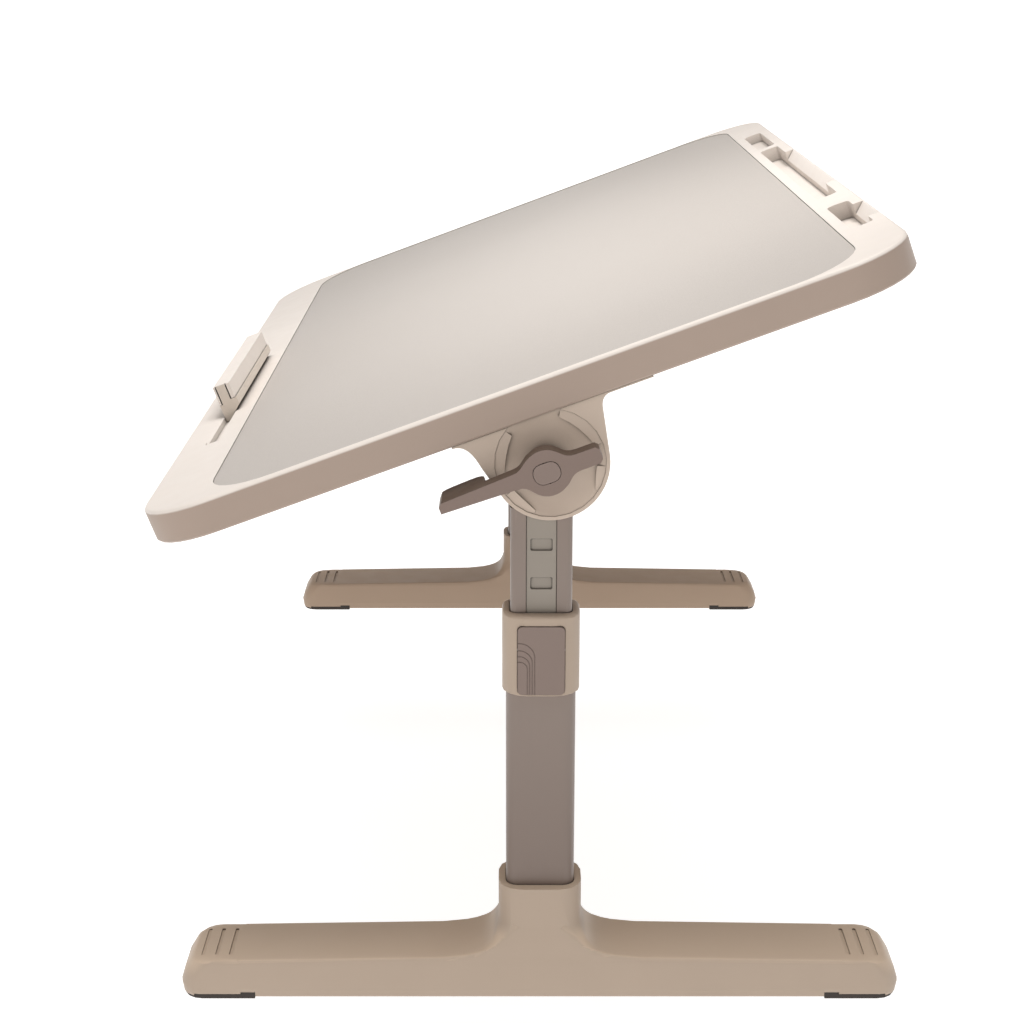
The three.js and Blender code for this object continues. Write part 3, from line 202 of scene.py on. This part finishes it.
def smoothing_group():
    """Welds the facets, shades them smooth and keeps the edges that are sharper than the limit."""
    group = bpy.data.node_groups.new("smooth_facets", "GeometryNodeTree")
    group.interface.new_socket("Geometry", in_out="INPUT", socket_type="NodeSocketGeometry")
    group.interface.new_socket("Geometry", in_out="OUTPUT", socket_type="NodeSocketGeometry")
    nodes, links = group.nodes, group.links
    start = nodes.new("NodeGroupInput")
    end = nodes.new("NodeGroupOutput")
    forget = nodes.new("GeometryNodeRemoveAttribute")
    forget.inputs["Name"].default_value = "custom_normal"
    merge = nodes.new("GeometryNodeMergeByDistance")
    merge.inputs["Distance"].default_value = WELD
    smooth = nodes.new("GeometryNodeSetShadeSmooth")
    sharpen = nodes.new("GeometryNodeSetShadeSmooth")
    sharpen.domain = "EDGE"
    sharpen.inputs["Shade Smooth"].default_value = False
    angle = nodes.new("GeometryNodeInputMeshEdgeAngle")
    compare = nodes.new("FunctionNodeCompare")
    compare.data_type = "FLOAT"
    compare.operation = "GREATER_THAN"
    compare.inputs[1].default_value = SMOOTH_LIMIT
    links.new(start.outputs[0], forget.inputs["Geometry"])
    links.new(forget.outputs["Geometry"], merge.inputs["Geometry"])
    links.new(merge.outputs["Geometry"], smooth.inputs["Geometry"])
    links.new(smooth.outputs["Geometry"], sharpen.inputs["Geometry"])
    links.new(angle.outputs["Unsigned Angle"], compare.inputs[0])
    links.new(compare.outputs[0], sharpen.inputs["Selection"])
    links.new(sharpen.outputs["Geometry"], end.inputs[0])
    return group


def smooth_all(pieces):
    group = smoothing_group()
    for piece in pieces:
        facets = piece.modifiers.new("smooth_facets", "NODES")
        facets.node_group = group
        weighted = piece.modifiers.new("weighted_normals", "WEIGHTED_NORMAL")
        weighted.keep_sharp = True


# Release button with its grooves


def groove_path(low, high, down, across, bend):
    """Points in X and Z, from beyond the left edge round the bend to beyond the lower edge."""
    x = low.x + across * MM
    z = high.z - down * MM
    radius = bend * MM
    points = [(low.x - MM, z)]
    for step in range(GROOVE_STEPS + 1):
        turn = math.pi / 2 * (1 - step / GROOVE_STEPS)
        points.append((x - radius + radius * math.cos(turn), z - radius + radius * math.sin(turn)))
    points.append((x, low.z - MM))
    return points


def add_rod(shape, path, y, radius):
    """A closed rod along a path that lies square to Y."""
    rings = []
    for index, (x, z) in enumerate(path):
        before = path[max(index - 1, 0)]
        after = path[min(index + 1, len(path) - 1)]
        along = Vector((after[0] - before[0], 0.0, after[1] - before[1])).normalized()
        sideways = along.cross(Vector((0.0, 1.0, 0.0)))
        centre = Vector((x, y, z))
        ring = []
        for side in range(GROOVE_SIDES):
            angle = math.tau * side / GROOVE_SIDES
            outward = sideways * math.cos(angle) + Vector((0.0, math.sin(angle), 0.0))
            ring.append(shape.verts.new(centre + radius * outward))
        rings.append(ring)
    for first, second in zip(rings, rings[1:]):
        for side in range(GROOVE_SIDES):
            after = (side + 1) % GROOVE_SIDES
            shape.faces.new((first[side], first[after], second[after], second[side]))
    shape.faces.new(rings[0][::-1])
    shape.faces.new(rings[-1])


def mesh_object(name, shape):
    bmesh.ops.recalc_face_normals(shape, faces=shape.faces)
    mesh = bpy.data.meshes.new(name)
    shape.to_mesh(mesh)
    shape.free()
    return add_object(name, mesh)


def carved(body, cutter):
    """Mesh of the body without the cutter; both objects are removed."""
    carve = body.modifiers.new("carve", "BOOLEAN")
    carve.operation = "DIFFERENCE"
    carve.solver = "EXACT"
    carve.object = cutter
    bpy.context.view_layer.update()
    graph = bpy.context.evaluated_depsgraph_get()
    mesh = bpy.data.meshes.new_from_object(body.evaluated_get(graph))
    bpy.data.objects.remove(cutter)
    bpy.data.objects.remove(body)
    mesh.materials.clear()
    return mesh


def grooved_button(side):
    """A copy of the side's release button with the grooves cut into its face."""
    low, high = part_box(f"{side}_release_button")
    face = low.y if side == "near" else high.y
    body = bmesh.new()
    body.from_mesh(frame["nodes"][f"{side}_release_button"].data)
    bmesh.ops.remove_doubles(body, verts=body.verts, dist=WELD)
    grooves = bmesh.new()
    for down, across, bend in GROOVES:
        add_rod(grooves, groove_path(low, high, down, across, bend), face, GROOVE_RADIUS * MM)
    mesh = carved(mesh_object(f"{side}_button_body", body), mesh_object(f"{side}_groove_cutter", grooves))
    piece = add_object(f"{side}_grooved_button", mesh)
    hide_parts(f"{side}_release_button")
    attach(piece, f"{side}_button")
    return piece


# Materials


def shade(colour, factor):
    return tuple(channel * factor for channel in colour)


def colour_socket(sockets, name):
    """The colour socket among the same-named sockets of a mix node."""
    return next(socket for socket in sockets if socket.name == name and socket.type == "RGBA")


class Nodes:
    """Short names for the nodes of a shader tree."""

    def __init__(self, tree):
        self.tree = tree

    def node(self, kind, **settings):
        made = self.tree.nodes.new(kind)
        for key, value in settings.items():
            setattr(made, key, value)
        return made

    def feed(self, socket, value):
        if isinstance(value, bpy.types.NodeSocket):
            self.tree.links.new(value, socket)
        else:
            socket.default_value = value

    def math(self, operation, *values):
        made = self.node("ShaderNodeMath", operation=operation)
        for socket, value in zip(made.inputs, values):
            self.feed(socket, value)
        return made.outputs[0]

    def vector(self, operation, *values):
        made = self.node("ShaderNodeVectorMath", operation=operation)
        for socket, value in zip(made.inputs, values):
            self.feed(socket, value)
        return made.outputs["Value"] if operation in ("LENGTH", "DOT_PRODUCT") else made.outputs[0]

    def split(self, vector):
        """Outputs X, Y and Z of a vector."""
        made = self.node("ShaderNodeSeparateXYZ")
        self.feed(made.inputs[0], vector)
        return made.outputs

    def span(self, value, low, high, to_low=0.0, to_high=1.0):
        """Smooth step of the value from low to high."""
        made = self.node("ShaderNodeMapRange", interpolation_type="SMOOTHSTEP")
        for socket, given in zip(made.inputs, (value, low, high, to_low, to_high)):
            self.feed(socket, given)
        return made.outputs[0]


class Finish(Nodes):
    """A material being made."""

    def __init__(self, name, colour, roughness, metallic=0.0):
        self.material = bpy.data.materials.new(name)
        self.material.use_nodes = True
        super().__init__(self.material.node_tree)
        self.shader = self.tree.nodes["Principled BSDF"]
        self.shader.inputs["Base Color"].default_value = (*colour, 1.0)
        self.shader.inputs["Roughness"].default_value = roughness
        self.shader.inputs["Metallic"].default_value = metallic
        self.place = self.node("ShaderNodeTexCoord").outputs["Object"]

    def mix(self, factor, first, second):
        made = self.node("ShaderNodeMix", data_type="RGBA")
        self.feed(made.inputs["Factor"], factor)
        for key, value in (("A", first), ("B", second)):
            colour = value if isinstance(value, bpy.types.NodeSocket) else (*value, 1.0)
            self.feed(colour_socket(made.inputs, key), colour)
        return colour_socket(made.outputs, "Result")

    def noise(self, scale, detail=3.0, stretch=None):
        place = self.place
        if stretch:
            mapping = self.node("ShaderNodeMapping")
            mapping.inputs["Scale"].default_value = stretch
            self.feed(mapping.inputs["Vector"], place)
            place = mapping.outputs[0]
        made = self.node("ShaderNodeTexNoise")
        self.feed(made.inputs["Vector"], place)
        made.inputs["Scale"].default_value = scale
        made.inputs["Detail"].default_value = detail
        return made.outputs[0]

    def colour(self, value):
        self.feed(self.shader.inputs["Base Color"], value)

    def colour_so_far(self):
        return self.shader.inputs["Base Color"].links[0].from_socket

    def roughness(self, value):
        self.feed(self.shader.inputs["Roughness"], value)

    def gloss(self, value):
        self.shader.inputs["Specular IOR Level"].default_value = value

    def relief(self, height, distance, edge=0.0005):
        """Fine relief on top of edges that are eased by a small radius."""
        eased = self.node("ShaderNodeBevel", samples=EDGE_SAMPLES)
        eased.inputs["Radius"].default_value = edge
        bump = self.node("ShaderNodeBump")
        bump.inputs["Strength"].default_value = 1.0
        bump.inputs["Distance"].default_value = distance
        self.feed(bump.inputs["Height"], height)
        self.feed(bump.inputs["Normal"], eased.outputs[0])
        self.feed(self.shader.inputs["Normal"], bump.outputs[0])

    def wear(self, radius=0.0012):
        """1 on outer and inner edges, 0 on open faces."""
        eased = self.node("ShaderNodeBevel", samples=EDGE_SAMPLES)
        eased.inputs["Radius"].default_value = radius
        plain = self.node("ShaderNodeNewGeometry").outputs["Normal"]
        agreement = self.vector("DOT_PRODUCT", eased.outputs[0], plain)
        return self.span(agreement, 0.995, 0.90)

    def painted_shade_weight(self, reach, open_face, closed, weight):
        """The weight of painted shade deep in a seam or an inner corner, 0 on open faces."""
        blocked = self.node("ShaderNodeAmbientOcclusion", samples=PAINTED_SHADE_SAMPLES)
        blocked.inputs["Distance"].default_value = reach
        return self.span(blocked.outputs["AO"], open_face, closed, 0.0, weight)

    def paint_shade_in_seams(self, base, dark, seams=SEAM_PAINTED_SHADE, hollows=HOLLOW_PAINTED_SHADE):
        """The base colour with painted shade, dark in fine seams and soft in hollows."""
        hollow = self.mix(self.painted_shade_weight(*hollows), base, dark)
        self.colour(self.mix(self.painted_shade_weight(*seams), hollow, dark))


def moulded(name, colour, roughness=SATIN, seams=SEAM_PAINTED_SHADE, hollows=HOLLOW_PAINTED_SHADE):
    """Satin moulded plastic: fine spark grain, faint flow marks, polished edges and painted shade in
    seams and hollows.
    """
    finish = Finish(name, colour, roughness)
    flow = finish.noise(22.0, 4.0)
    base = finish.mix(flow, shade(colour, 0.965), shade(colour, 1.035))
    edge = finish.wear()
    worn = finish.mix(finish.math("MULTIPLY", edge, 0.25), base, shade(colour, 1.18))
    finish.paint_shade_in_seams(worn, shade(colour, PAINTED_SHADE_SHARE), seams, hollows)
    rubbed = finish.math("MULTIPLY", edge, -0.10)
    patch = finish.span(finish.noise(60.0, 2.0), 0.3, 0.7, roughness - 0.04, roughness + 0.05)
    finish.roughness(finish.math("ADD", patch, rubbed))
    fine = finish.math("ADD", finish.noise(2600.0, 2.0), finish.math("MULTIPLY", flow, 0.3))
    finish.relief(fine, 0.000012)
    finish.gloss(GLOSS)
    return finish


def painted_upward_faces(name, sides, painted_up_colour, roughness, seams, gloss):
    """Moulded plastic whose faces that look up take another colour: painted light where it is lighter,
    painted shade where it is darker.
    """
    finish = moulded(name, sides, roughness, seams)
    normal = finish.split(finish.node("ShaderNodeTexCoord").outputs["Normal"])
    painted_up_mask = finish.span(normal["Z"], 0.2, 0.6)
    finish.colour(finish.mix(painted_up_mask, finish.colour_so_far(), painted_up_colour))
    finish.gloss(gloss)
    return finish


def powder_coat(name, colour, roughness=0.42):
    """Painted tube: orange peel, streaks along the length from wiping, painted shade in seams and
    hollows, and darker near the floor.
    """
    finish = Finish(name, colour, roughness)
    streaks = finish.noise(90.0, 3.0, stretch=(1.0, 1.0, 0.06))
    even = finish.mix(streaks, shade(colour, 0.955), shade(colour, 1.05))
    low = finish.span(finish.split(finish.place)["Z"], *LOW_ON_TUBE, 1.0, 0.0)
    base = finish.mix(low, even, TUBE_LOW)
    worn = finish.mix(finish.math("MULTIPLY", finish.wear(), 0.2), base, shade(colour, 1.2))
    finish.paint_shade_in_seams(worn, shade(colour, PAINTED_SHADE_SHARE))
    finish.roughness(finish.span(streaks, 0.25, 0.75, roughness - 0.05, roughness + 0.06))
    peel = finish.math("ADD", finish.noise(900.0, 2.0), finish.math("MULTIPLY", streaks, 0.4))
    finish.relief(peel, 0.00003)
    finish.shader.inputs["Coat Weight"].default_value = 0.12
    finish.shader.inputs["Coat Roughness"].default_value = 0.3
    return finish


def rubber(name, colour):
    """Matt rubber with patches of dust."""
    finish = Finish(name, colour, 0.82)
    dust = finish.span(finish.noise(45.0, 5.0), 0.45, 0.8)
    finish.colour(finish.mix(finish.math("MULTIPLY", dust, 0.35), colour, shade(colour, 2.6)))
    finish.roughness(finish.span(dust, 0.0, 1.0, 0.76, 0.92))
    finish.relief(finish.noise(1300.0, 4.0), 0.00005)
    return finish


def metal(name, colour, roughness):
    """Machined or plated metal with fine streaks."""
    finish = Finish(name, colour, roughness, metallic=1.0)
    streaks = finish.noise(900.0, 3.0, stretch=(1.0, 0.05, 1.0))
    finish.colour(finish.mix(streaks, shade(colour, 0.82), shade(colour, 1.08)))
    finish.roughness(finish.span(streaks, 0.2, 0.8, roughness - 0.08, roughness + 0.1))
    finish.relief(streaks, 0.000012, edge=0.0003)
    return finish


def fibre(name, colour):
    """Pressed friction material with pale fibres."""
    finish = Finish(name, colour, 0.9)
    flecks = finish.span(finish.noise(700.0, 5.0), 0.55, 0.7)
    finish.colour(finish.mix(flecks, colour, shade(colour, 2.4)))
    finish.relief(finish.noise(1500.0, 4.0), 0.00004, edge=0.0003)
    return finish


def panel_skin(name):
    """Fine matt leather-like skin with a soft sheen."""
    finish = Finish(name, PANEL, 0.5)
    broad = finish.noise(3.5, 2.0)
    base = finish.mix(broad, shade(PANEL, 0.965), shade(PANEL, 1.035))
    cells = finish.node("ShaderNodeTexVoronoi", feature="DISTANCE_TO_EDGE")
    finish.feed(cells.inputs["Vector"], finish.place)
    cells.inputs["Scale"].default_value = 1100.0
    pores = finish.span(cells.outputs["Distance"], 0.0, 0.25)
    finish.colour(finish.mix(pores, shade(PANEL, 0.90), base))
    finish.roughness(finish.span(broad, 0.3, 0.7, 0.46, 0.54))
    finish.relief(pores, 0.00003, edge=0.0004)
    finish.gloss(0.5)
    return finish


def in_top(finish):
    """Coordinates along the slope, along the length and square to the surface."""
    mapping = finish.node("ShaderNodeMapping", vector_type="TEXTURE")
    mapping.inputs["Location"].default_value = pivot()
    mapping.inputs["Rotation"].default_value = (0.0, -TILT, 0.0)
    finish.feed(mapping.inputs["Vector"], finish.place)
    return mapping.outputs[0]


def from_outline(finish, local):
    """Distance outside the top's rounded outline, negative inside."""
    core = (TOP_WIDTH / 2 - TOP_CORNER, TOP_LENGTH / 2 - TOP_CORNER, 1.0)
    beyond = finish.vector("SUBTRACT", finish.vector("ABSOLUTE", local), core)
    outside = finish.vector("MAXIMUM", beyond, (0.0, 0.0, 0.0))
    return finish.math("SUBTRACT", finish.vector("LENGTH", outside), TOP_CORNER)


def below_face(finish, height, depths):
    """0 above the first depth in mm under the top's face, 1 below the second."""
    start, full = depths
    return finish.span(height, TOP_FACE - full * MM, TOP_FACE - start * MM, 1.0, 0.0)


def top_moulding(name):
    """Cream on top, painted shade on the outer wall and a darker colour underneath."""
    finish = moulded(name, CREAM, 0.44)
    cream = finish.colour_so_far()
    local = in_top(finish)
    place = finish.split(local)
    beyond = from_outline(finish, local)

    # Painted shade on the outer wall below the rim's edge
    start, full = WALL_FROM_OUTLINE
    outer = finish.span(beyond, start * MM, full * MM)
    wall = finish.math("MULTIPLY", below_face(finish, place["Z"], WALL_DEPTHS), outer)
    painted_wall_shade = finish.mix(finish.noise(18.0, 4.0), shade(WALL_PAINTED_SHADE, 0.97), shade(WALL_PAINTED_SHADE, 1.03))

    start, full = PANEL_INSETS
    off_middle = finish.math("ABSOLUTE", finish.math("SUBTRACT", place["X"], PANEL_MIDDLE))
    within_panel = finish.span(off_middle, PANEL_HALF - full * MM, PANEL_HALF - start * MM, 1.0, 0.0)
    below_panel = finish.math("MULTIPLY", within_panel, below_face(finish, place["Z"], PANEL_DEPTHS))
    below = finish.math("MAXIMUM", below_face(finish, place["Z"], POCKET_DEPTHS), below_panel)
    start, full = INSIDE_OUTLINE
    inside = finish.span(beyond, start * MM, full * MM, 1.0, 0.0)
    under = finish.math("MULTIPLY", inside, below)

    finish.colour(finish.mix(under, finish.mix(wall, cream, painted_wall_shade), UNDERSIDE))
    return finish


def finishes():
    """The finish of each material slot."""
    return {
        "cream_plastic": moulded("cream_plastic", CREAM),
        "panel": panel_skin("panel"),
        "tan_plastic": moulded("tan_plastic", TAN),
        "taupe_plastic": moulded("taupe_plastic", TAUPE, TAUPE_SATIN, SOFT_SEAM_PAINTED_SHADE),
        "painted_tube": powder_coat("painted_tube", TUBE),
        "inlay_plastic": moulded("inlay_plastic", INLAY, 0.5),
        "rubber": rubber("rubber", RUBBER),
        "steel": metal("steel", STEEL, 0.34),
        "dark_steel": metal("dark_steel", DARK_STEEL, 0.45),
        "brass": metal("brass", BRASS, 0.35),
        "friction_pad": fibre("friction_pad", FRICTION),
    }


def own_finishes():
    """The finish of each piece that differs from the rest of its slot: painted light on the hub and the
    near foot's upward faces, painted shade on the lever's upward faces and the far foot.
    """
    # The hub is a lighter copy of the tan plastic, as painted light, with stronger painted shade in its
    # seams and hollows
    hub = moulded("hub_painted_light", HUB_PAINTED_LIGHT, seams=HUB_SEAM_PAINTED_SHADE, hollows=HUB_HOLLOW_PAINTED_SHADE)
    # The lever's faces that look up are painted dark: painted shade from the top above them
    lever = painted_upward_faces("lever_painted_shade", TAUPE, LEVER_TOP_PAINTED_SHADE, TAUPE_SATIN, SOFT_SEAM_PAINTED_SHADE, LEVER_GLOSS)
    own = {
        "top_frame": top_moulding("top_moulding"),
        "book_stop": moulded("stop_core", STOP_CORE),
        # The near foot's faces that look up are painted lighter: painted light
        "near_foot": painted_upward_faces("near_foot_painted_light", TAN, FOOT_TOP_PAINTED_LIGHT, SATIN, SEAM_PAINTED_SHADE, GLOSS),
        # The far foot is a darker, browner copy of the tan: painted shade
        "far_foot": moulded("far_foot_painted_shade", FAR_FOOT_PAINTED_SHADE),
    }
    for side in SIDES:
        own[f"{side}_hub_housing"] = hub
        own[f"{side}_clamp_lever"] = lever
    return own


def paint(buttons):
    made = finishes()
    own = own_finishes()
    slots = {part["node"]: part["material_slot"] for part in frame["record"]["subparts"]}
    for name, node in frame["nodes"].items():
        finish = own.get(name, made[slots[name]])
        node.material_slots[0].material = finish.material
    for button in buttons:
        button.data.materials.append(made["taupe_plastic"].material)


# Studio


def add_floor():
    reach = FLOOR_REACH
    corners = [(-reach, -reach), (reach, -reach), (reach, reach), (-reach, reach)]
    mesh = bpy.data.meshes.new("floor")
    mesh.from_pydata([(x, y, -FLOOR_DROP) for x, y in corners], [], [(0, 1, 2, 3)])
    finish = Finish("floor", FLOOR, 0.8)
    dust = finish.noise(1.5, 3.0)
    finish.colour(finish.mix(dust, shade(FLOOR, 0.99), shade(FLOOR, 1.01)))
    finish.shader.inputs["Emission Color"].default_value = (*FLOOR_GLOW_COLOUR, 1.0)
    finish.shader.inputs["Emission Strength"].default_value = FLOOR_GLOW
    mesh.materials.append(finish.material)
    add_object("floor", mesh)


def add_light(name, kind, power, colour):
    data = bpy.data.lights.new(name, kind)
    data.energy = power
    data.color = colour
    return add_object(name, data)


def aim(light, place, target):
    """Puts the light in its place, turns it to the target and hides it from the camera."""
    light.location = place
    towards = Vector(target) - Vector(place)
    light.rotation_euler = towards.to_track_quat("-Z", "Y").to_euler()
    light.visible_camera = False


def add_ceiling():
    """Broad light from far above."""
    light = add_light("ceiling", "SUN", CEILING_STRENGTH, CEILING_COLOUR)
    light.data.angle = math.radians(CEILING_SPREAD)
    light.rotation_euler = tuple(math.radians(turn) for turn in CEILING_LEAN)


def add_softbox(name, place, target, size, power, colour):
    light = add_light(name, "AREA", power, colour)
    light.data.shape = "RECTANGLE"
    light.data.size, light.data.size_y = size
    aim(light, place, target)


def add_pool():
    """Soft pool of light on the middle of the panel."""
    light = add_light("pool", "SPOT", POOL_POWER, POOL_COLOUR)
    light.data.spot_size = math.radians(POOL_SPREAD)
    light.data.spot_blend = 1.0
    light.data.shadow_soft_size = POOL_RADIUS
    aim(light, POOL_PLACE, POOL_TARGET)


def add_world():
    """A room that is bright above, dim half way up and white along the floor's edge."""
    world = bpy.data.worlds.new("studio")
    world.use_nodes = True
    room = Nodes(world.node_tree)
    background = room.tree.nodes["Background"]
    background.inputs["Color"].default_value = (*WORLD_COLOUR, 1.0)
    place = room.node("ShaderNodeTexCoord").outputs["Generated"]
    height = room.vector("DOT_PRODUCT", place, Vector(WORLD_TOWARDS).normalized())
    above = room.span(height, WORLD_EDGE, 1.0, WORLD_DIM, WORLD_BRIGHT)
    horizon = room.span(height, *HORIZON_RISE, WORLD_HORIZON, 0.0)
    room.feed(background.inputs["Strength"], room.math("MAXIMUM", above, horizon))
    scene.world = world


def add_studio():
    add_world()
    add_floor()
    add_ceiling()
    add_softbox("overhead", *OVERHEAD)
    add_pool()
    add_softbox("sheen", *SHEEN)
    add_softbox("front", *FRONT)
    scene.view_settings.view_transform = "Standard"


# Making


add_camera()
grooved = [grooved_button(side) for side in SIDES]
smooth_all([*frame["nodes"].values(), *grooved])
paint(grooved)
add_studio()

bpy.context.view_layer.update()
